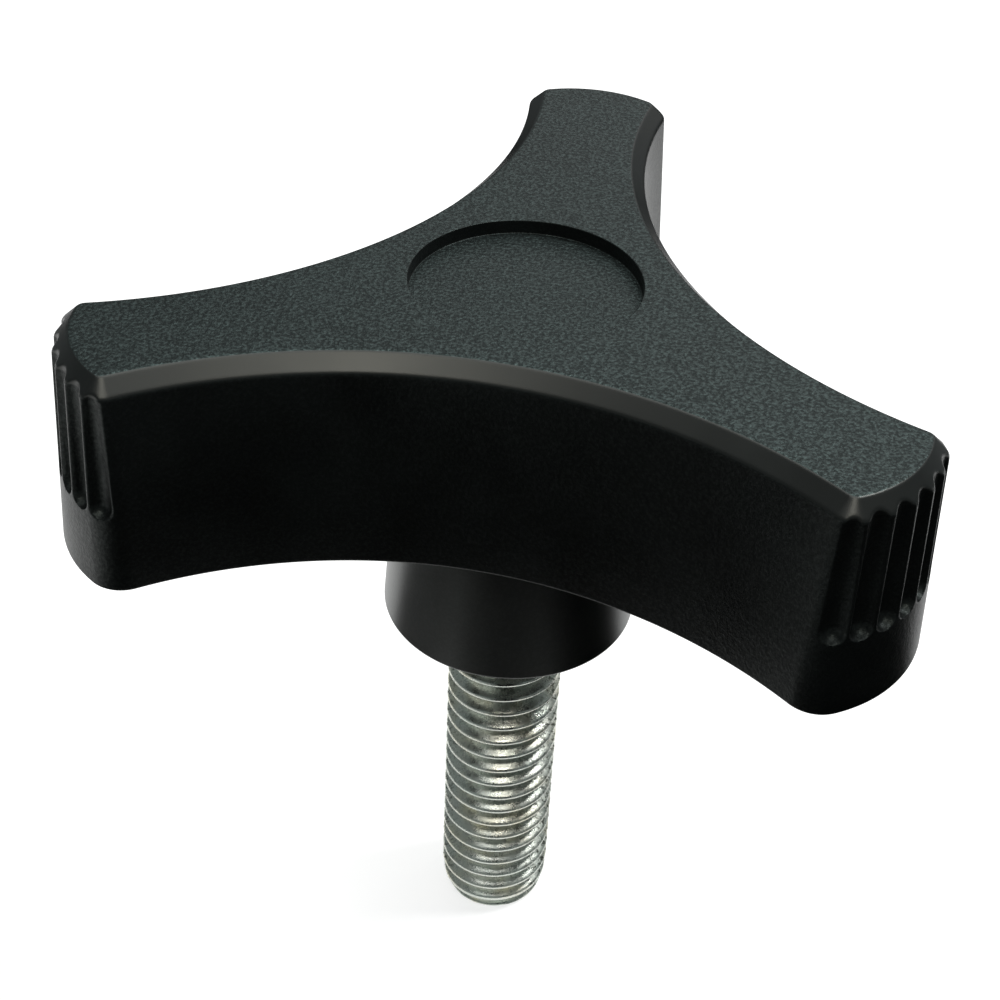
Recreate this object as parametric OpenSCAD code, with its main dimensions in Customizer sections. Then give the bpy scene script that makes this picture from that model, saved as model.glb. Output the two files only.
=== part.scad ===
// Three-arm clamping knob with a threaded stud moulded into its hub.
// Millimetres. The origin is the centre of the hub's seat face, +Z points up
// through the knob, the stud runs down along -Z and one arm points along +Y.

/* [Arms] */
// Distance from the axis to the tip of an arm, at the base of the arm
arm_reach = 28.4; // [26.4:0.1:36]
// Height of the arms from their base to the top face
arm_height = 13.9; // [11:0.1:20]
// Distance from the axis to the concave side between two arms, at the base
waist = 10.8; // [10:0.1:13]
// Radius of the concave side between two arms, at the base
side_r = 30.5; // [28:0.5:36]
// Radius of the convex end of an arm, at the base
end_r = 9.3; // [8.5:0.1:13]
// Depth of the cut that rounds off the upright corners of an arm, at the base
corner_cut = 0.3; // [0.1:0.05:0.6]
// Draft of the upright walls in degrees
draft = 3.5; // [1:0.25:4]
// Width of the bevel around the top face
bevel_w = 1; // [0.5:0.05:1.4]
// Height of the bevel around the top face
bevel_h = 0.95; // [0.5:0.05:1.6]

/* [Recess in the top face] */
// Diameter of the recess
recess_d = 14; // [8:0.2:17]
// Depth of the recess
recess_depth = 0.9; // [0.3:0.1:1.5]

/* [Grip flutes] */
// Number of flutes on the end of each arm
flute_count = 7; // [1:2:7]
// Angle between two flutes about the centre of the arm's end, in degrees
flute_step = 11.25; // [10.5:0.25:11.75]
// Radius of a flute
flute_r = 0.75; // [0.5:0.05:0.8]
// Depth of a flute at its foot
flute_depth = 0.85; // [0.5:0.05:1]
// Height of the feet of the flutes above the base of the arm
flute_foot = 5; // [3:0.5:8]

/* [Underside] */
// Thickness of the walls around the pockets
wall = 2; // [1.6:0.1:2.6]
// Thickness of the top above the pockets
roof = 3; // [2:0.1:4]
// Thickness of the rib along each arm
rib = 1.4; // [1:0.1:2]
// Distance from the axis to the inner wall of the pockets
pocket_start = 10; // [9:0.5:14]

/* [Hub] */
// Height of the hub from its seat face to the base of the arms
hub_height = 11; // [10:0.1:16]
// Diameter of the hub at its seat face
hub_d = 16.8; // [15.6:0.2:18]
// Diameter of the hub at the base of the arms
hub_neck_d = 15.4; // [14.8:0.2:17]
// Chamfer around the seat face
hub_chamfer = 0.3; // [0.1:0.1:0.8]
// Gap between the thread and the edge of the relief around it in the seat face
relief_gap = 0.5; // [0.2:0.1:1.5]
// Depth of that relief, where the thread ends and the plain shank starts
relief_depth = 0.6; // [0.3:0.1:1.5]

/* [Stud] */
// Major diameter of the thread
thread_d = 7.94; // [5:0.01:8.2]
// Pitch of the thread, whose ridges are turned here without their slope
thread_pitch = 1.411; // [0.8:0.001:1.75]
// Length of the stud below the seat face
stud_length = 28.6; // [12:0.1:60]
// Length of the rounded run-in at the stud's tip
tip_length = 3.1; // [1:0.1:5]
// Diameter of the flat end of the stud
tip_d = 6.7; // [3:0.1:7.5]
// Diameter of the plain shank inside the hub
shank_d = 7.1; // [4:0.1:8]
// Width across the flats of the hexagonal head inside the hub
head_af = 11; // [8.5:0.1:11.5]
// Height of the head
head_h = 5; // [3:0.1:6]
// Height of the underside of the head above the seat face
head_seat = 4.5; // [2:0.1:6]

/* [Hidden] */
$fn = 96;

// Cutters reach this far past the face they cut.
past = 1;
arm_angles = [90, 210, 330];
half_gap = 60;

base_z = hub_height;
top_z = base_z + arm_height;
bevel_z = top_z - bevel_h;
foot_z = base_z + flute_foot;
roof_z = top_z - roof;

// A wall leans in by this much per millimetre of height.
lean = tan(draft);
bevel_inset = (bevel_z - base_z) * lean;
top_inset = bevel_inset + bevel_w;

// The walls of an arm, as [inset from its base outline, height] from the bottom up.
outer_walls = [[0, base_z], [bevel_inset, bevel_z], [top_inset, top_z]];
pocket_walls = [[wall - past * lean, base_z - past], [wall + (roof_z - base_z) * lean, roof_z]];

// Centres of the convex end of an arm that points along +X, and of the concave side next to it.
end_c = [arm_reach - end_r, 0];
side_c = along(half_gap, waist + side_r);

// The corner where the two meet at the base, and the circle about the arm's middle line that rounds it off.
corner = meeting_point(end_c, end_r, side_c, side_r);
corner_heading = (heading(corner - end_c) + heading(side_c - corner)) / 2;
corner_c = [corner.x - corner.y / tan(corner_heading), 0];
corner_r = corner.y / sin(corner_heading) - corner_cut;

// The basic 60 degree form of a screw thread.
crest_w = thread_pitch / 8;
flank_w = thread_pitch * 5 / 16;
thread_h = flank_w * tan(60);
full_turns = ceil(stud_length / thread_pitch) - 1;

function along(angle, length) = length * [cos(angle), sin(angle)];
function turn(p, angle) = [p.x * cos(angle) - p.y * sin(angle), p.x * sin(angle) + p.y * cos(angle)];
function heading(v) = atan2(v.y, v.x);

// The point at distance ra from a and rb from b, on the right of the way from a to b.
function meeting_point(a, ra, b, rb) =
    let (d = norm(b - a), u = (b - a) / d, t = (ra * ra - rb * rb + d * d) / (2 * d))
    a + t * u + sqrt(ra * ra - t * t) * [u.y, -u.x];

function bottom_of(walls) = walls[0].y;
function top_of(walls) = walls[len(walls) - 1].y;
function last_inset(walls) = walls[len(walls) - 1].x;

// The corners of a rectangle that lies along an arm that points along +X.
function along_arm(from, to, half_width) = [
    [from, -half_width], [to, -half_width], [to, half_width], [from, half_width]];

// Radius that the rounded run-in at the tip leaves of the stud at a depth below the seat face.
function run_in_r(depth) =
    let (share = max(0, depth - stud_length + tip_length) / tip_length)
    (tip_d + (thread_d - tip_d) * sqrt(1 - share * share)) / 2;

// One turn of the thread in the stud's profile, from its crest at that depth to the next one.
function thread_turn(depth) =
    let (
        crest_r = run_in_r(depth),
        root_to = depth + thread_pitch - flank_w,
        root_r = min(thread_d / 2 - thread_h, run_in_r(root_to)))
    [[crest_r, -depth], [crest_r, -depth - crest_w],
     [root_r, -depth - crest_w - flank_w], [root_r, -root_to]];

// A round thing at a point of each arm. It is moved and not turned, so that it stays exactly round.
module at_each_arm(p) {
    for (a = arm_angles)
        translate(turn(p, a))
            children();
}

// A straight-sided block on each arm.
module blocks(points, low, high) {
    for (a = arm_angles)
        translate([0, 0, low])
            linear_extrude(high - low)
                polygon([for (p = points) turn(p, a)]);
}

// A turned cutter that gets wider where the walls lean in, or thinner with in = -1, and reaches past both ends.
module turned_past(r, walls, in = 1) {
    low = bottom_of(walls) - past;
    high = top_of(walls) + past;
    rotate_extrude()
        polygon(concat(
            [[0, low], [r + in * walls[0].x, low]],
            [for (w = walls) [r + in * w.x, w.y]],
            [[r + in * last_inset(walls), high], [0, high]]));
}

// The concave sides between the arms, as cutters.
module sides(walls) {
    at_each_arm(side_c)
        turned_past(side_r, walls);
}

// What lies beyond a circle around a point on the middle line of each arm, towards its tip.
module beyond(centre, r, walls) {
    difference() {
        blocks(along_arm(centre.x, arm_reach + 2 * past, waist + past), bottom_of(walls) - past / 2, top_of(walls) + past / 2);
        at_each_arm(centre)
            turned_past(r, walls, in = -1);
    }
}

// The three arms, cut from one block: concave sides, convex ends and rounded corners.
module arms() {
    difference() {
        translate([0, 0, base_z])
            linear_extrude(arm_height)
                polygon([for (a = arm_angles, y = [-waist, waist]) turn([arm_reach + past, y], a)]);
        sides(outer_walls);
        beyond(end_c, end_r, outer_walls);
        beyond(corner_c, corner_r, outer_walls);
    }
}

// The hub, which carries on up inside the arms and joins them.
module hub() {
    rotate_extrude()
        polygon([
            [0, 0],
            [hub_d / 2 - hub_chamfer, 0],
            [hub_d / 2, hub_chamfer],
            [hub_neck_d / 2, base_z],
            [hub_neck_d / 2, roof_z],
            [0, roof_z]]);
}

// The round-bottomed flutes on the ends of the arms, from their feet up through the bevel.
module flutes() {
    centre_r = end_r - flute_foot * lean - flute_depth + flute_r;
    middle = (flute_count - 1) / 2;
    for (i = [0 : flute_count - 1])
        at_each_arm(end_c + along((i - middle) * flute_step, centre_r))
            translate([0, 0, foot_z])
                cylinder(r = flute_r, h = top_z - foot_z + past);
}

// The two pockets under each arm, on either side of its rib.
module pockets() {
    low = bottom_of(pocket_walls);
    difference() {
        blocks(along_arm(pocket_start, arm_reach, waist), low, roof_z);
        sides(pocket_walls);
        beyond(end_c, end_r, pocket_walls);
        blocks(along_arm(0, arm_reach, rib / 2), low - past, roof_z + past);
    }
}

// The part of the stud that the hub is moulded around.
module stud_anchor() {
    cylinder(d = shank_d, h = head_seat);
    translate([0, 0, head_seat])
        cylinder(d = head_af / cos(30), h = head_h, $fn = 6);
}

module knob_body() {
    color("#2b2f2f")
        difference() {
            union() {
                arms();
                hub();
            }
            flutes();
            pockets();
            translate([0, 0, top_z - recess_depth])
                cylinder(d = recess_d, h = recess_depth + past);
            translate([0, 0, -past])
                cylinder(d = thread_d + 2 * relief_gap, h = relief_depth + past);
            stud_anchor();
        }
}

module threaded_stud() {
    last_crest = full_turns * thread_pitch;
    color("#b9bcb2") {
        stud_anchor();
        rotate_extrude()
            polygon(concat(
                [[0, 0]],
                [for (i = [0 : full_turns - 1], p = thread_turn(i * thread_pitch)) p],
                [[run_in_r(last_crest), -last_crest], [tip_d / 2, -stud_length], [0, -stud_length]]));
    }
}

knob_body();
threaded_stud();
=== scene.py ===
"""A three-arm clamping knob on its zinc-plated stud, dressed over the CAD frame. Metres."""

import math

import bmesh
import bpy
import numpy as np
from mathutils import Matrix, Vector


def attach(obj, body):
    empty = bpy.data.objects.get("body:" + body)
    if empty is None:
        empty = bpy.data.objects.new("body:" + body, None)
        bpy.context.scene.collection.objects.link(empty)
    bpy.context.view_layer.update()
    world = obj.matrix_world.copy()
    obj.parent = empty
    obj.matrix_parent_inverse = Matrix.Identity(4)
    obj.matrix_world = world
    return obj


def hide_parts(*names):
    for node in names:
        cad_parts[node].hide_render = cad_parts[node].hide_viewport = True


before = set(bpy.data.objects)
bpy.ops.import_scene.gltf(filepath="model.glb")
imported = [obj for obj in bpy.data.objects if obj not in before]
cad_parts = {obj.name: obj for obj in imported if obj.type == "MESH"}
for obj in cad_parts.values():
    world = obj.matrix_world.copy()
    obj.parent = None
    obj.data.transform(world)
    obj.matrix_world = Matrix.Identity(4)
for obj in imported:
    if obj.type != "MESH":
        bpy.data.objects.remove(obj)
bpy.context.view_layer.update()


# THE STUD
# A cold-headed steel pin with a rolled right-hand thread, barrel zinc plated and clear passivated.
# Its plain shank and hexagon head sit inside the hub, which was moulded around them.
MM = 0.001

stud_sizes = {
    "Major diameter": 7.94 * MM,
    "Minor diameter": 6.3 * MM,
    "Pitch": 1.411 * MM,
    "Length": 28.6 * MM,
    "Tip length": 3.1 * MM,
    "Tip diameter": 6.7 * MM,
    "Crest share": 0.13,
    "Root share": 0.16,
    "First crest": 1.203 * MM,
    "Shank diameter": 7.1 * MM,
    "Head seat": 4.5 * MM,
    "Head across corners": 11 / math.cos(math.radians(30)) * MM,
    "Head height": 5 * MM,
}
THREAD_COLUMNS, ROWS_PER_PITCH = 144, 18
CREST_EASE, END_FADE, WELD = 0.06 * MM, (0.05 * MM, 0.4 * MM), 0.001 * MM


def linear(colour):
    """Linear RGBA of an sRGB hex colour."""
    parts = [int(colour[i:i + 2], 16) / 255 for i in (1, 3, 5)]
    return [c / 12.92 if c <= 0.04045 else ((c + 0.055) / 1.055) ** 2.4 for c in parts] + [1]


def add_node(tree, kind, inputs=None, **settings):
    """Adds a node with its settings; an input takes a value, a socket, or a node's first output."""
    made = tree.nodes.new(kind)
    for name, value in settings.items():
        setattr(made, name, value)
    for name, value in (inputs or {}).items():
        if isinstance(value, bpy.types.Node):
            value = value.outputs[0]
        if isinstance(value, bpy.types.NodeSocket):
            tree.links.new(value, made.inputs[name])
        else:
            made.inputs[name].default_value = value
    return made


def bare_material(name):
    """A new material and its empty node tree."""
    made = bpy.data.materials.new(name)
    made.use_nodes = True
    made.node_tree.nodes.clear()
    return made, made.node_tree


# Zinc plate with a clear chromate: a grey mirror dulled by the barrel, with a straw and sea-green
# cast where the film is thicker, and pits and scuffs left by the rolling dies.
zinc, tree = bare_material("barrel_zinc_plate_clear_passivated")
CAST_SIZE, PIT_SIZE, SCUFF_SIZE, LAP_SIZE = 2.2 * MM, 0.16 * MM, 0.5 * MM, 0.3 * MM
place = add_node(tree, "ShaderNodeTexCoord").outputs["Object"]
film_cast_and_painted_reflection_tint = add_node(tree, "ShaderNodeTexNoise", {"Vector": place, "Scale": 1 / CAST_SIZE, "Detail": 2.0})
tint = add_node(tree, "ShaderNodeValToRGB", {"Fac": film_cast_and_painted_reflection_tint})
tint.color_ramp.elements[0].position, tint.color_ramp.elements[0].color = 0.3, linear("#d0d7ce")
tint.color_ramp.elements[1].position, tint.color_ramp.elements[1].color = 0.7, linear("#dddbc8")
middle = tint.color_ramp.elements.new(0.5)
middle.color = linear("#d6d9d0")
pits = add_node(tree, "ShaderNodeTexNoise", {
    "Vector": place, "Scale": 1 / PIT_SIZE, "Detail": 3.0, "Roughness": 0.7})
scuffs = add_node(tree, "ShaderNodeTexNoise", {
    "Vector": place, "Scale": 1 / SCUFF_SIZE, "Detail": 2.0, "Distortion": 0.6})
dull = add_node(tree, "ShaderNodeMapRange", {
    "Value": scuffs, "From Min": 0.3, "From Max": 0.7, "To Min": 0.22, "To Max": 0.34})
on_crest = add_node(tree, "ShaderNodeMapRange", {
    "Value": add_node(tree, "ShaderNodeAttribute", attribute_name="crest").outputs["Fac"],
    "From Min": 0.82, "From Max": 0.95})
laps = add_node(tree, "ShaderNodeTexNoise", {
    "Vector": place, "Scale": 1 / LAP_SIZE, "Detail": 2.0, "Roughness": 0.7})
laps = add_node(tree, "ShaderNodeMapRange", {"Value": laps, "From Min": 0.53, "From Max": 0.63})
laps = add_node(tree, "ShaderNodeMath", {0: laps, 1: on_crest}, operation="MULTIPLY")
worn = add_node(tree, "ShaderNodeMix", {
    "Factor": laps, "A": tint, "B": linear("#565850")}, data_type="RGBA")
relief = add_node(tree, "ShaderNodeMath", {0: laps, 1: -0.6, 2: pits}, operation="MULTIPLY_ADD")
dents = add_node(tree, "ShaderNodeBump", {"Height": relief, "Strength": 0.22, "Distance": 0.03 * MM})
steel = add_node(tree, "ShaderNodeBsdfPrincipled", {
    "Base Color": worn.outputs["Result"], "Metallic": 1.0, "Roughness": dull, "Normal": dents})
add_node(tree, "ShaderNodeOutputMaterial", {"Surface": steel})

# The thread is a sheared grid: each row follows the helix at one place of the thread's profile.
thread = bpy.data.node_groups.new("rolled_thread", "GeometryNodeTree")
for name in stud_sizes:
    thread.interface.new_socket(name, in_out="INPUT", socket_type="NodeSocketFloat")
thread.interface.new_socket("Finish", in_out="INPUT", socket_type="NodeSocketMaterial")
thread.interface.new_socket("Geometry", in_out="OUTPUT", socket_type="NodeSocketGeometry")
size = add_node(thread, "NodeGroupInput").outputs
major = add_node(thread, "ShaderNodeMath", {0: size["Major diameter"], 1: 0.5}, operation="MULTIPLY")
minor = add_node(thread, "ShaderNodeMath", {0: size["Minor diameter"], 1: 0.5}, operation="MULTIPLY")
tip = add_node(thread, "ShaderNodeMath", {0: size["Tip diameter"], 1: 0.5}, operation="MULTIPLY")
reach = add_node(thread, "ShaderNodeMath", {
    0: size["Length"], 1: size["First crest"]}, operation="ADD")
turns = add_node(thread, "ShaderNodeMath", {0: reach, 1: size["Pitch"]}, operation="DIVIDE")
turns = add_node(thread, "ShaderNodeMath", {0: turns}, operation="CEIL")
turns = add_node(thread, "ShaderNodeMath", {0: turns, 1: 2.0}, operation="ADD")
rows = add_node(thread, "ShaderNodeMath", {
    0: turns, 1: float(ROWS_PER_PITCH), 2: 1.0}, operation="MULTIPLY_ADD")
grid = add_node(thread, "GeometryNodeMeshGrid", {
    "Size X": 1.0, "Size Y": 1.0, "Vertices X": THREAD_COLUMNS + 1, "Vertices Y": rows})
spot = add_node(thread, "ShaderNodeSeparateXYZ", {0: add_node(thread, "GeometryNodeInputPosition")})
turn = add_node(thread, "ShaderNodeMath", {0: spot.outputs["X"], 1: 0.5}, operation="ADD")
along = add_node(thread, "ShaderNodeMath", {0: spot.outputs["Y"], 1: 0.5}, operation="ADD")
along = add_node(thread, "ShaderNodeMath", {0: along, 1: turns}, operation="MULTIPLY")
sunk = add_node(thread, "ShaderNodeMath", {0: along, 1: turn}, operation="SUBTRACT")
sunk = add_node(thread, "ShaderNodeMath", {0: sunk, 1: size["Pitch"]}, operation="MULTIPLY")
height = add_node(thread, "ShaderNodeMath", {
    0: size["First crest"], 1: sunk}, operation="SUBTRACT")
phase = add_node(thread, "ShaderNodeMath", {0: along}, operation="FRACT")
phase = add_node(thread, "ShaderNodeMath", {0: phase, 1: 2.0, 2: -1.0}, operation="MULTIPLY_ADD")
phase = add_node(thread, "ShaderNodeMath", {0: phase}, operation="ABSOLUTE")
crest = add_node(thread, "ShaderNodeMath", {0: 1.0, 1: size["Crest share"]}, operation="SUBTRACT")
flank = add_node(thread, "ShaderNodeMapRange", {
    "Value": phase, "From Min": size["Root share"], "From Max": crest,
    "To Min": minor, "To Max": major})
foot = add_node(thread, "ShaderNodeMath", {0: size["Length"], 1: -1.0}, operation="MULTIPLY")
level = add_node(thread, "ShaderNodeMath", {0: height, 1: foot}, operation="MAXIMUM")
level = add_node(thread, "ShaderNodeMath", {0: level, 1: 0.0}, operation="MINIMUM")
# The tip's rounded run-in cuts the last crests down.
from_end = add_node(thread, "ShaderNodeMath", {0: level, 1: foot}, operation="SUBTRACT")
run_in = add_node(thread, "ShaderNodeMapRange", {
    "Value": from_end, "From Min": 0.0, "From Max": size["Tip length"], "To Min": 1.0, "To Max": 0.0})
run_in = add_node(thread, "ShaderNodeMath", {0: run_in, 1: run_in}, operation="MULTIPLY")
run_in = add_node(thread, "ShaderNodeMath", {0: 1.0, 1: run_in}, operation="SUBTRACT")
run_in = add_node(thread, "ShaderNodeMath", {0: run_in}, operation="SQRT")
limit = add_node(thread, "ShaderNodeMapRange", {"Value": run_in, "To Min": tip, "To Max": major})
radius = add_node(thread, "ShaderNodeMath", {
    0: flank, 1: limit, 2: CREST_EASE}, operation="SMOOTH_MIN")
whole = add_node(thread, "ShaderNodeMapRange", {
    "Value": from_end, "From Min": END_FADE[0], "From Max": END_FADE[1]})
radius = add_node(thread, "ShaderNodeMapRange", {"Value": whole, "To Min": limit, "To Max": radius})
# Rows that pass an end of the thread close it: the first lies in the end face, the rest on the axis.
below = add_node(thread, "ShaderNodeMath", {0: foot, 1: height}, operation="SUBTRACT")
past = add_node(thread, "ShaderNodeMath", {0: height, 1: below}, operation="MAXIMUM")
past = add_node(thread, "ShaderNodeMath", {0: past, 1: size["Pitch"]}, operation="DIVIDE")
kept = add_node(thread, "ShaderNodeMath", {
    0: past, 1: 1 / ROWS_PER_PITCH}, operation="LESS_THAN")
radius = add_node(thread, "ShaderNodeMath", {0: radius, 1: kept}, operation="MULTIPLY")
angle = add_node(thread, "ShaderNodeMath", {0: turn, 1: 2 * math.pi}, operation="MULTIPLY")
ahead = add_node(thread, "ShaderNodeMath", {0: angle}, operation="COSINE")
aside = add_node(thread, "ShaderNodeMath", {0: angle}, operation="SINE")
ahead = add_node(thread, "ShaderNodeMath", {0: ahead, 1: radius}, operation="MULTIPLY")
aside = add_node(thread, "ShaderNodeMath", {0: aside, 1: radius}, operation="MULTIPLY")
spot = add_node(thread, "ShaderNodeCombineXYZ", {"X": ahead, "Y": aside, "Z": level})
rod = add_node(thread, "GeometryNodeSetPosition", {"Geometry": grid, "Position": spot})
rod = add_node(thread, "GeometryNodeStoreNamedAttribute", {
    "Geometry": rod, "Name": "crest", "Value": phase}, data_type="FLOAT", domain="POINT")
rod = add_node(thread, "GeometryNodeMergeByDistance", {"Geometry": rod, "Distance": WELD})
shank_r = add_node(thread, "ShaderNodeMath", {
    0: size["Shank diameter"], 1: 0.5}, operation="MULTIPLY")
shank = add_node(thread, "GeometryNodeMeshCylinder", {
    "Vertices": 64, "Radius": shank_r, "Depth": size["Head seat"]})
half = add_node(thread, "ShaderNodeMath", {0: size["Head seat"], 1: 0.5}, operation="MULTIPLY")
shank = add_node(thread, "GeometryNodeTransform", {
    "Geometry": shank, "Translation": add_node(thread, "ShaderNodeCombineXYZ", {"Z": half})})
head_r = add_node(thread, "ShaderNodeMath", {
    0: size["Head across corners"], 1: 0.5}, operation="MULTIPLY")
head = add_node(thread, "GeometryNodeMeshCylinder", {
    "Vertices": 6, "Radius": head_r, "Depth": size["Head height"]})
half = add_node(thread, "ShaderNodeMath", {
    0: size["Head height"], 1: 0.5, 2: size["Head seat"]}, operation="MULTIPLY_ADD")
head = add_node(thread, "GeometryNodeTransform", {
    "Geometry": head, "Translation": add_node(thread, "ShaderNodeCombineXYZ", {"Z": half})})
pin = add_node(thread, "GeometryNodeJoinGeometry", {0: rod})
thread.links.new(shank.outputs[0], pin.inputs[0])
thread.links.new(head.outputs[0], pin.inputs[0])
pin = add_node(thread, "GeometryNodeRealizeInstances", {"Geometry": pin})
pin = add_node(thread, "GeometryNodeSetMaterial", {"Geometry": pin, "Material": size["Finish"]})
add_node(thread, "NodeGroupOutput", {"Geometry": pin})

blank = bpy.data.objects.new("stud_blank", bpy.data.meshes.new("stud_blank"))
bpy.context.scene.collection.objects.link(blank)
rolling = blank.modifiers.new("rolled_thread", "NODES")
rolling.node_group = thread
for socket in thread.interface.items_tree:
    if socket.in_out == "INPUT":
        rolling[socket.identifier] = stud_sizes.get(socket.name, zinc)
bpy.context.view_layer.update()
stud_mesh = bpy.data.meshes.new_from_object(
    blank.evaluated_get(bpy.context.evaluated_depsgraph_get()))
bpy.data.objects.remove(blank)
bm = bmesh.new()
bm.from_mesh(stud_mesh)
bmesh.ops.recalc_face_normals(bm, faces=bm.faces)
bm.to_mesh(stud_mesh)
bm.free()
stud_mesh.shade_smooth()
stud_mesh.set_sharp_from_angle(angle=math.radians(70))
stud = bpy.data.objects.new("zinc_plated_stud", stud_mesh)
bpy.context.scene.collection.objects.link(stud)
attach(stud, "root")
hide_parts("threaded_stud")


# THE KNOB
# One injection moulding of black glass-filled nylon around the stud: three drafted arms with a
# smooth bevel, a shallow round recess on top, fluted ends, cored-out undersides and a round hub.
ARM_ANGLES = (90, 210, 330)
HALF_GAP = 60
BASE_Z, TOP_Z, FOOT_Z, ROOF_Z = 11.0, 24.9, 16.0, 21.9
BEVEL_Z, BEVEL_W = 23.95, 1.0
LEAN = math.tan(math.radians(3.5))
ARM_REACH, END_R, WAIST, SIDE_R, CORNER_R = 28.4, 9.3, 10.8, 30.5, 0.5
FLUTE_ANGLES = [11.25 * i for i in range(-3, 4)]
FLUTE_R, FLUTE_DEPTH, FLUTE_LIP = 0.75, 0.85, 0.12
DEEPEST_CUT, HALVINGS = 1.4, 40
RECESS_R, RECESS_Z = 7.0, 24.0
WALL, RIB, POCKET_START = 2.0, 1.4, 10.0
END_STEPS, CORNER_STEPS, SIDE_STEPS = 64, 36, 36
HUB_STEPS = 144

bevel_inset = (BEVEL_Z - BASE_Z) * LEAN
top_inset = bevel_inset + BEVEL_W
corner_base_r = CORNER_R + top_inset


def heading(angle, length=1.0):
    """The point at that angle in degrees and that distance from the origin."""
    return np.array([math.cos(math.radians(angle)), math.sin(math.radians(angle))]) * length


def meeting(a, ra, b, rb):
    """The point at ra from a and rb from b, on the right of the way from a to b."""
    d = np.linalg.norm(b - a)
    u = (b - a) / d
    t = (ra * ra - rb * rb + d * d) / (2 * d)
    return a + t * u + math.sqrt(ra * ra - t * t) * np.array([u[1], -u[0]])


end_c = np.array([ARM_REACH - END_R, 0.0])
side_c = heading(HALF_GAP, WAIST + SIDE_R)
corner_c = meeting(end_c, END_R - corner_base_r, side_c, SIDE_R + corner_base_r)
corner_from = math.degrees(math.atan2(*(corner_c - end_c)[::-1]))
corner_to = math.degrees(math.atan2(*(side_c - corner_c)[::-1]))

# The base outline of an arm along +X, as points and outward normals from gap to gap.
half_points, half_normals = [], []
for centre, r, first, last, steps in (
        (end_c, END_R, 0, corner_from, END_STEPS),
        (corner_c, corner_base_r, corner_from, corner_to, CORNER_STEPS),
        (side_c, -SIDE_R, corner_to, HALF_GAP, SIDE_STEPS)):
    for i in range(steps):
        normal = heading(first + (last - first) * i / steps)
        half_points.append(centre + r * normal)
        half_normals.append(normal)
half_points.append(heading(HALF_GAP, WAIST))
half_normals.append(heading(HALF_GAP))
mirrored = np.array([1, -1])
arm_points = np.array([p * mirrored for p in half_points[:0:-1]] + half_points[:-1])
arm_normals = np.array([n * mirrored for n in half_normals[:0:-1]] + half_normals[:-1])
flute_centres = [
    end_c + heading(a, END_R - (FOOT_Z - BASE_Z) * LEAN - FLUTE_DEPTH + FLUTE_R) for a in FLUTE_ANGLES]


def flute_cut(points, r):
    """How far in from each point of an arm's outline flutes of that radius have cut, with rounded lips."""
    low, high = np.zeros(len(points)), np.full(len(points), DEEPEST_CUT)
    for _ in range(HALVINGS):
        cut = (low + high) / 2
        spot = points - arm_normals * cut[:, None]
        field = -cut
        for c in flute_centres:
            inside = r - np.linalg.norm(spot - c, axis=1)
            blend = np.maximum(FLUTE_LIP - np.abs(field - inside), 0) / FLUTE_LIP
            field = np.maximum(field, inside) + blend * blend * FLUTE_LIP / 4
        low, high = np.where(field > 0, cut, low), np.where(field > 0, high, cut)
    return (low + high) / 2


def eased(corners, radii, steps=5):
    """A profile of (across, height) points with its inner corners rounded."""
    corners = [np.array(c, float) for c in corners]
    made = [corners[0]]
    for before, corner, after, r in zip(corners, corners[1:], corners[2:], radii):
        a, b = (before - corner), (after - corner)
        a, b = a / np.linalg.norm(a), b / np.linalg.norm(b)
        half = math.acos(np.clip(a @ b, -1, 1)) / 2
        middle = corner + (a + b) / np.linalg.norm(a + b) * (r / math.sin(half))
        start, stop = corner + a * (r / math.tan(half)) - middle, corner + b * (r / math.tan(half)) - middle
        sweep = math.pi - 2 * half
        for i in range(steps + 1):
            t = i / steps
            made.append(middle + (
                math.sin((1 - t) * sweep) * start + math.sin(t * sweep) * stop) / math.sin(sweep))
    return made + [corners[-1]]


def all_arms(points, z):
    """One arm's points turned to all three arms, as a closed ring at that height."""
    ring = []
    for angle in ARM_ANGLES:
        c, s = heading(angle)
        ring += [(x * c - y * s, x * s + y * c, z) for x, y in points]
    return ring


# Rings of the outside, from the base edge up over the bevel: inset, height and radius of the flutes.
BASE_EASE, SHOULDER_EASE, RIM_EASE, GUARD = 0.2, 0.5, 0.35, 0.06
FOOT_RISES = (-0.2, -0.01, 0.02, 0.06, 0.12, 0.2, 0.3, 0.42, 0.57, FLUTE_R)
LONG_STEP = 0.3
profile = eased(
    [(BASE_EASE + GUARD, BASE_Z), (0, BASE_Z), (bevel_inset, BEVEL_Z), (top_inset, TOP_Z),
     (top_inset + RIM_EASE + GUARD, TOP_Z)],
    [BASE_EASE, SHOULDER_EASE, RIM_EASE])
walls = []
for (inset, z), (next_inset, next_z) in zip(profile, profile[1:] + [profile[-1]]):
    walls.append((inset, z, 0.0 if z < FOOT_Z else FLUTE_R))
    if z < FOOT_Z < next_z:
        for rise in FOOT_RISES:
            foot_r = math.sqrt(max(rise, 0) * (2 * FLUTE_R - rise))
            walls.append(((FOOT_Z + rise - BASE_Z) * LEAN, FOOT_Z + rise, foot_r))
    elif next_z - z > LONG_STEP:
        for t in np.arange(1, 10) / 10:
            walls.append((inset + (next_inset - inset) * t, z + (next_z - z) * t, FLUTE_R))
# A finish is its share of the grain and its sheen.
TOP_FINISH, WALL_FINISH, BEVEL_FINISH, TURNED_FINISH = (
    (1.0, 0.35), (0.4, 0.175), (0.0, 0.41), (0.1, 0.72))
rings, finishes = [], []
for inset, z, r in walls:
    points = arm_points - arm_normals * inset
    if r:
        points = points - arm_normals * flute_cut(points, r)[:, None]
    rings.append(all_arms(points, z))
    if z > TOP_Z - 0.03:
        finishes.append(TOP_FINISH)
    else:
        finishes.append(BEVEL_FINISH if z > BEVEL_Z - 0.05 else WALL_FINISH)

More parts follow.
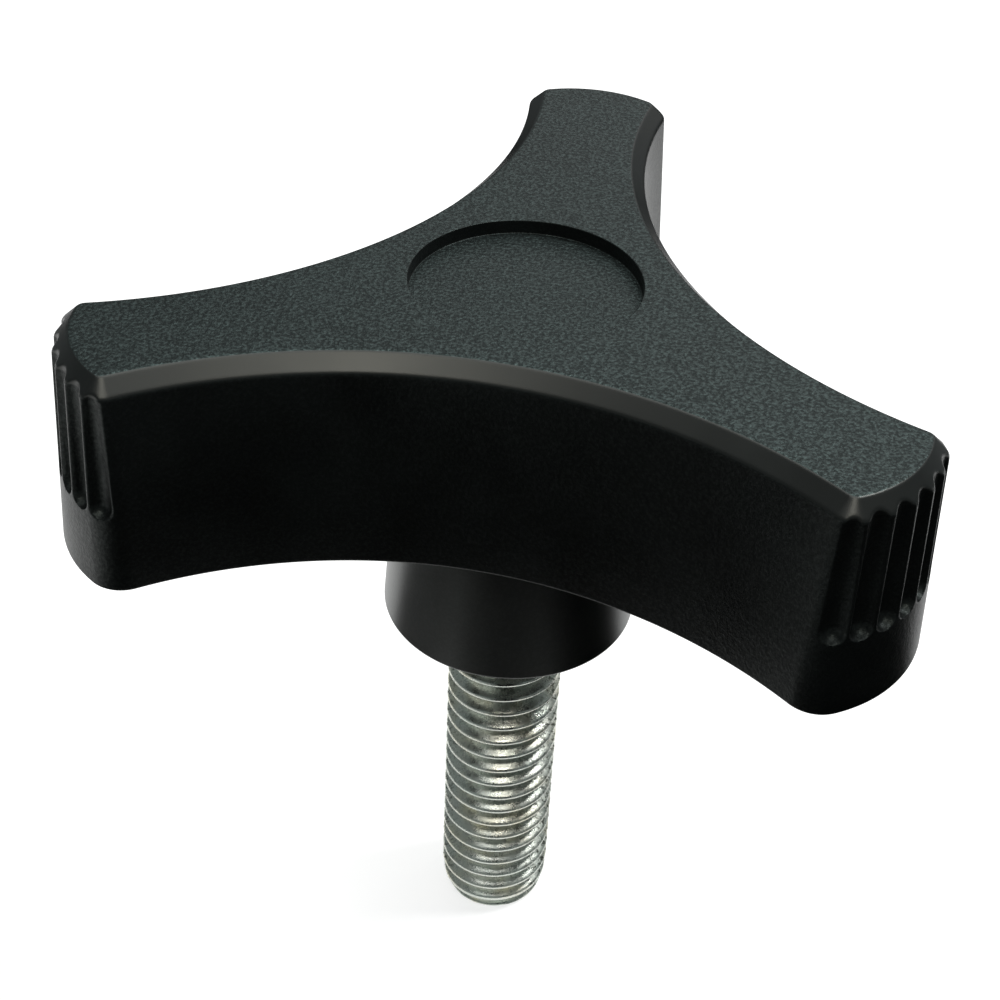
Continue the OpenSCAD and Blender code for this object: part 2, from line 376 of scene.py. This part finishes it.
# The top face and the recess carry the same columns in to the middle.
edge = np.array(rings[-1])[:, :2]
edge_r = np.linalg.norm(edge, axis=1)
rays = edge / edge_r[:, None]
RECESS_EASE, MIDDLE_R = 0.07, 0.4
TOP_SHARES, FLOOR_RADII = (0.97, 0.9, 0.75, 0.6, 0.45, 0.3, 0.15), (6.9, 6, 4.5, 3, 1.5, MIDDLE_R)
recess = eased(
    [(RECESS_R + RECESS_EASE + GUARD, TOP_Z), (RECESS_R, TOP_Z), (RECESS_R, RECESS_Z), (MIDDLE_R, RECESS_Z)],
    [RECESS_EASE, RECESS_EASE])
for t in TOP_SHARES:
    r = recess[0][0] + (edge_r - recess[0][0]) * t
    rings.append([(x, y, TOP_Z) for x, y in rays * r[:, None]])
    finishes.append(TOP_FINISH)
for r, z in recess[:-1] + [np.array([r, RECESS_Z]) for r in FLOOR_RADII]:
    rings.append([(x, y, z) for x, y in rays * r])
    finishes.append(TOP_FINISH if z > TOP_Z - 0.01 or z < RECESS_Z + 0.01 else WALL_FINISH)

bm = bmesh.new()
grain, sheen = bm.verts.layers.float.new("grain"), bm.verts.layers.float.new("sheen")


def loft(rings, finishes):
    """Joins closed rings, each to the next, and returns the first and the last."""
    rows = []
    for ring, finish in zip(rings, finishes):
        rows.append([bm.verts.new(Vector(p) * MM) for p in ring])
        for v in rows[-1]:
            v[grain], v[sheen] = finish
    for low, high in zip(rows, rows[1:]):
        for i in range(len(low)):
            bm.faces.new((low[i - 1], low[i], high[i], high[i - 1]))
    return rows[0], rows[-1]


def cap(ring):
    """Closes a ring with a fan to its middle."""
    middle = bm.verts.new(sum((v.co for v in ring), Vector()) / len(ring))
    middle[grain], middle[sheen] = ring[0][grain], ring[0][sheen]
    for i in range(len(ring)):
        bm.faces.new((ring[i - 1], ring[i], middle))


def rim_edges(ring):
    """The edges around a ring."""
    return [bm.edges.get((ring[i - 1], ring[i])) for i in range(len(ring))]


base_ring, recess_ring = loft(rings, finishes)
cap(recess_ring)
open_edges = rim_edges(base_ring)

# The hub is turned: its neck, seat face and relief, and the cavity that holds the stud's head.
HUB_NECK_R, HUB_R, HUB_CHAMFER, NECK_EASE = 7.7, 8.4, 0.3, 0.5
RELIEF_R, RELIEF_Z, SHANK_R, HEAD_FLAT, HEAD_Z, HEAD_TOP = 4.47, 0.6, 3.55, 5.5, 4.5, 9.5
hub = eased(
    [(HUB_NECK_R + NECK_EASE + GUARD, BASE_Z), (HUB_NECK_R, BASE_Z), (HUB_R, HUB_CHAMFER),
     (HUB_R - HUB_CHAMFER, 0), (RELIEF_R, 0), (RELIEF_R, RELIEF_Z), (SHANK_R, RELIEF_Z), (SHANK_R, HEAD_Z)],
    [NECK_EASE, 0.2, 0.15, 0.1, 0.05, 0.05])
turned = [360 * i / HUB_STEPS for i in range(HUB_STEPS)]
rings = [[(*heading(a, r), z) for a in turned] for r, z in hub]
for z in (HEAD_Z, HEAD_TOP):
    rings.append([(*heading(a, HEAD_FLAT / math.cos(math.radians(a % 60 - 30))), z) for a in turned])
hub_ring, head_ring = loft(rings, [TURNED_FINISH] * len(rings))
cap(head_ring)
open_edges += rim_edges(hub_ring)

# Two cored-out pockets under each arm leave a wall all round and a rib along the middle.
POCKET_EASE, ROOF_EASE, CORNER_CUT = 0.15, 0.4, 0.8


def pocket_outline(inset, grow):
    """A pocket beside the rib of an arm along +X: its base outline inset, then grown all round."""
    r, side = END_R - inset + grow, SIDE_R + inset - grow
    rib, start = RIB / 2 - grow, POCKET_START - grow
    tip = meeting(end_c, r, side_c, side)
    side_y = side_c[1] - math.sqrt(side * side - (start - side_c[0]) ** 2)
    first = math.degrees(math.asin(rib / r))
    last = math.degrees(math.atan2(*(tip - end_c)[::-1]))
    leave = math.degrees(math.atan2(*(tip - side_c)[::-1]))
    come = math.degrees(math.atan2(side_y - side_c[1], start - side_c[0]))
    inner, outer = np.array([start, rib]), np.array([start, side_y])
    rib_end = end_c + heading(first, r)
    runs = (
        (lambda t: inner + (rib_end - inner) * t, rib_end[0] - start, 15),
        (lambda t: end_c + heading(first + (last - first) * t, r), math.radians(last - first) * r, 9),
        (lambda t: side_c + heading(leave + (come - leave) * t, side),
         math.radians(leave - come) * side, 21),
        (lambda t: outer + (inner - outer) * t, side_y - rib, 7))
    kept = []
    for run, length, steps in runs:
        trim = CORNER_CUT / length
        kept.append([run(trim + (1 - 2 * trim) * t) for t in np.linspace(0, 1, steps)])
    outline = []
    for (run, _, _), points, following in zip(runs, kept, kept[1:] + kept[:1]):
        corner, a, b = run(1), points[-1], following[0]
        outline += points + [
            a * (1 - t) ** 2 + corner * 2 * t * (1 - t) + b * t * t for t in (0.2, 0.4, 0.6, 0.8)]
    return outline


pocket_profile = eased(
    [(POCKET_EASE + GUARD, BASE_Z), (0, BASE_Z), (0, ROOF_Z), (-ROOF_EASE - GUARD, ROOF_Z)],
    [POCKET_EASE, ROOF_EASE])
for angle in ARM_ANGLES:
    for side in (1, -1):
        rings = []
        for grow, z in pocket_profile:
            points = pocket_outline(WALL + (z - BASE_Z) * LEAN, grow)
            turn = Matrix.Rotation(math.radians(angle), 3, "Z")
            rings.append([turn @ Vector((x, y * side, z)) for x, y in points])
        mouth, roof = loft(rings, [WALL_FINISH] * len(rings))
        cap(roof)
        open_edges += rim_edges(mouth)
bmesh.ops.triangle_fill(bm, use_beauty=True, edges=open_edges, normal=(0, 0, -1))
bmesh.ops.remove_doubles(bm, verts=bm.verts, dist=WELD)
bmesh.ops.recalc_face_normals(bm, faces=bm.faces)
knob_mesh = bpy.data.meshes.new("moulded_knob")
bm.to_mesh(knob_mesh)
bm.free()
knob_mesh.shade_smooth()
knob_mesh.set_sharp_from_angle(angle=math.radians(60))

# Glass-filled nylon, moulded in a spark-eroded tool: near black inside, so nearly all that is seen
# is a soft sheen, broken into small bright grains on the textured faces and even on the bevel.
nylon, tree = bare_material("black_glass_filled_nylon_spark_eroded")
GRAIN_SIZE, FINE_SIZE, FLOW_SIZE = 0.22 * MM, 0.09 * MM, 7 * MM
place = add_node(tree, "ShaderNodeTexCoord").outputs["Object"]
amount = add_node(tree, "ShaderNodeAttribute", attribute_name="grain").outputs["Fac"]
pebbles = add_node(tree, "ShaderNodeTexNoise", {
    "Vector": place, "Scale": 1 / GRAIN_SIZE, "Detail": 2.0, "Roughness": 0.55})
specks = add_node(tree, "ShaderNodeTexNoise", {
    "Vector": place, "Scale": 1 / FINE_SIZE, "Detail": 1.0})
flow = add_node(tree, "ShaderNodeTexNoise", {
    "Vector": place, "Scale": 1 / FLOW_SIZE, "Detail": 3.0, "Distortion": 0.4})
skin = add_node(tree, "ShaderNodeValToRGB", {"Fac": flow})
skin.color_ramp.elements[0].position, skin.color_ramp.elements[0].color = 0.35, linear("#090a0a")
skin.color_ramp.elements[1].position, skin.color_ramp.elements[1].color = 0.65, linear("#0f1111")
surface = add_node(tree, "ShaderNodeMath", {0: specks, 1: 0.4, 2: pebbles}, operation="MULTIPLY_ADD")
texture = add_node(tree, "ShaderNodeBump", {
    "Height": surface, "Strength": amount, "Distance": 0.055 * MM})
matte = add_node(tree, "ShaderNodeMapRange", {
    "Value": amount, "To Min": 0.29, "To Max": 0.4})
patchy = add_node(tree, "ShaderNodeMath", {0: flow, 1: 0.12, 2: matte}, operation="MULTIPLY_ADD")
tops = add_node(tree, "ShaderNodeMapRange", {
    "Value": surface, "From Min": 0.62, "From Max": 0.92, "To Min": -0.38, "To Max": 1.5})
tops = add_node(tree, "ShaderNodeMath", {0: tops, 1: amount, 2: 1.0}, operation="MULTIPLY_ADD")
gloss = add_node(tree, "ShaderNodeAttribute", attribute_name="sheen").outputs["Fac"]
shine = add_node(tree, "ShaderNodeMath", {0: tops, 1: gloss}, operation="MULTIPLY")
# Painted reflection tint: the sheen on the grained faces is coloured teal, as if it mirrored a cool room,
# while the smooth bevel keeps a near-white sheen.
film_cast_and_painted_reflection_tint = add_node(tree, "ShaderNodeMix", {
    "Factor": amount, "A": linear("#f4f8f2"), "B": linear("#cbeee9")}, data_type="RGBA")
plastic = add_node(tree, "ShaderNodeBsdfPrincipled", {
    "Base Color": skin, "Roughness": patchy, "IOR": 1.5, "Specular IOR Level": shine,
    "Specular Tint": film_cast_and_painted_reflection_tint.outputs["Result"], "Normal": texture})
add_node(tree, "ShaderNodeOutputMaterial", {"Surface": plastic})
knob_mesh.materials.append(nylon)
knob = bpy.data.objects.new("moulded_knob", knob_mesh)
bpy.context.scene.collection.objects.link(knob)
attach(knob, "root")
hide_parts("knob_body")


# THE STUDIO
# A white sweep under the stud's tip, a white room, a broad soft lamp overhead and two soft boxes.
# Black cards before and behind the knob, out of the camera's sight, keep its walls and bevels dark,
# and a small flag keeps the front lamp off the upper stud.
VIEW_AZIMUTH, VIEW_ELEVATION, VIEW_ROLL = map(math.radians, (10.408, 38.332, 2.822))
right = Vector((math.cos(VIEW_AZIMUTH), math.sin(VIEW_AZIMUTH), 0))
front = Vector((math.sin(VIEW_AZIMUTH), -math.cos(VIEW_AZIMUTH), 0))
up = Vector((0, 0, 1))
FLOOR_Z = -28.6 * MM


def sheet_of(name, corners, material):
    """A flat stage sheet through those corners."""
    mesh = bpy.data.meshes.new(name)
    mesh.from_pydata(corners, [], [range(len(corners))])
    mesh.materials.append(material)
    made = bpy.data.objects.new(name, mesh)
    bpy.context.scene.collection.objects.link(made)
    return made


def seen_rays(tree):
    """1 for the rays that the camera sees, straight, mirrored or through something, else 0."""
    ray = add_node(tree, "ShaderNodeLightPath")
    seen = add_node(tree, "ShaderNodeMath", {
        0: ray.outputs["Is Camera Ray"], 1: ray.outputs["Is Glossy Ray"]}, operation="MAXIMUM")
    return add_node(tree, "ShaderNodeMath", {
        0: seen, 1: ray.outputs["Is Transmission Ray"]}, operation="MAXIMUM")


paper, tree = bare_material("white_paper_sweep")
lift = add_node(tree, "ShaderNodeMath", {0: seen_rays(tree), 1: 0.7}, operation="MULTIPLY")
matt = add_node(tree, "ShaderNodeBsdfDiffuse", {"Color": linear("#bcbcbc")})
glow = add_node(tree, "ShaderNodeEmission", {"Color": linear("#ffffff"), "Strength": lift})
add_node(tree, "ShaderNodeOutputMaterial", {
    "Surface": add_node(tree, "ShaderNodeAddShader", {0: matt, 1: glow})})
SWEEP = 1.5
sheet_of("paper_floor", [
    (x * SWEEP, y * SWEEP, FLOOR_Z) for x, y in ((-1, -1), (1, -1), (1, 1), (-1, 1))], paper)

velvet, tree = bare_material("black_velvet_card")
add_node(tree, "ShaderNodeOutputMaterial", {
    "Surface": add_node(tree, "ShaderNodeBsdfDiffuse", {"Color": linear("#0a0a0a")})})
CARD_LIFT, FLAG_AHEAD = 1 * MM, 22 * MM
FRONT_CARD = ((-15, -60), (-15, -28), (25, -28), (25, 18), (-15, 18), (-15, 400), (400, 400), (400, -60))
BACK_CARD = ((-720, -600), (-720, 600), (-160, 400), (-160, -400))
STUD_FLAG = ((-9, -6), (9, -6), (9, 22), (-9, 22))
for name, spots in (("front_card", FRONT_CARD), ("back_card", BACK_CARD)):
    card = sheet_of(name, [
        (front * ahead + right * aside) * MM + up * (FLOOR_Z + CARD_LIFT)
        for ahead, aside in spots], velvet)
    card.visible_camera = card.visible_shadow = False
flag = sheet_of("stud_flag", [
    front * FLAG_AHEAD + (right * aside + up * rise) * MM for aside, rise in STUD_FLAG], velvet)
flag.visible_camera = False

# A dim grey tent closes the room above the floor, but for an opening behind the knob.
felt, tree = bare_material("grey_felt_tent")
add_node(tree, "ShaderNodeOutputMaterial", {
    "Surface": add_node(tree, "ShaderNodeEmission", {"Color": linear("#f2ffff"), "Strength": 0.2})})
TENT_R, TENT_STEP, OPEN_FROM, OPEN_TO = 0.75, 6, 174, 234
TENT_RISES = (0, 17, 30, 45, 60, 75, 90)
tent_spots, tent_faces = [], []
for side in range(0, 360, TENT_STEP):
    first = len(tent_spots)
    for turn, rise in [(side + more, rise) for more in (0, TENT_STEP) for rise in TENT_RISES]:
        around, level = math.radians(turn), math.radians(rise)
        outward = front * math.cos(around) - right * math.sin(around)
        away = outward * math.cos(level) + up * math.sin(level)
        tent_spots.append(away * TENT_R + up * FLOOR_Z)
    for j in range(1 if OPEN_FROM <= side < OPEN_TO else len(TENT_RISES) - 1):
        a, b = first + j, first + len(TENT_RISES) + j
        tent_faces.append((a, b, b + 1, a + 1))
tent_mesh = bpy.data.meshes.new("grey_tent")
tent_mesh.from_pydata(tent_spots, [], tent_faces)
tent_mesh.materials.append(felt)
tent = bpy.data.objects.new("grey_tent", tent_mesh)
bpy.context.scene.collection.objects.link(tent)
tent.visible_camera = tent.visible_shadow = False

world = bpy.data.worlds.new("white_room")
bpy.context.scene.world = world
world.use_nodes = True
tree = world.node_tree
tree.nodes.clear()
white = add_node(tree, "ShaderNodeBackground", {"Color": linear("#ffffff"), "Strength": 1.0})
room = add_node(tree, "ShaderNodeBackground", {"Color": linear("#e2eeee"), "Strength": 0.5})
add_node(tree, "ShaderNodeOutputWorld", {
    "Surface": add_node(tree, "ShaderNodeMixShader", {0: seen_rays(tree), 1: room, 2: white})})


def soft_box(name, toward, distance, width, height, power, colour):
    """A soft lamp in that direction from the knob, facing it."""
    lamp = bpy.data.lights.new(name, "AREA")
    lamp.shape, lamp.size, lamp.size_y = "RECTANGLE", width, height
    lamp.energy, lamp.color = power, linear(colour)[:3]
    made = bpy.data.objects.new(name, lamp)
    bpy.context.scene.collection.objects.link(made)
    made.location = toward.normalized() * distance
    made.rotation_mode = "QUATERNION"
    made.rotation_quaternion = toward.to_track_quat("Z", "Y")
    return made


soft_box("overhead_box", up - front * 0.1, 0.5, 0.5, 0.5, 2.2, "#ffffff")
soft_box("camera_side_box", front * 0.52 - right * 0.02 + up * 0.854, 0.45, 0.16, 0.12, 0.5, "#fff9f0")
soft_box("right_box", right * 0.5 - front * 0.1 + up * 0.86, 0.4, 0.07, 0.07, 0.75, "#ffffff")


# THE CAMERA
# It looks down at the knob from the front, a little from the right, with a slight tilt.
VIEW_DISTANCE, VIEW_ASIDE, VIEW_HEIGHT, LENS = 114.284 * MM, -0.894 * MM, 8.193 * MM, 63.324
back = front * math.cos(VIEW_ELEVATION) + up * math.sin(VIEW_ELEVATION)
upright = back.cross(right)
across = right * math.cos(VIEW_ROLL) + upright * math.sin(VIEW_ROLL)
lifted = back.cross(across)
camera = bpy.data.objects.new("camera", bpy.data.cameras.new("camera"))
bpy.context.scene.collection.objects.link(camera)
camera.data.sensor_width, camera.data.lens = 36, LENS
camera.data.clip_start, camera.data.clip_end = 5 * MM, 20
camera.location = right * VIEW_ASIDE + up * VIEW_HEIGHT + back * VIEW_DISTANCE
camera.rotation_mode = "QUATERNION"
camera.rotation_quaternion = Matrix((across, lifted, back)).transposed().to_quaternion()
bpy.context.scene.camera = camera
bpy.context.scene.view_settings.view_transform = "Standard"
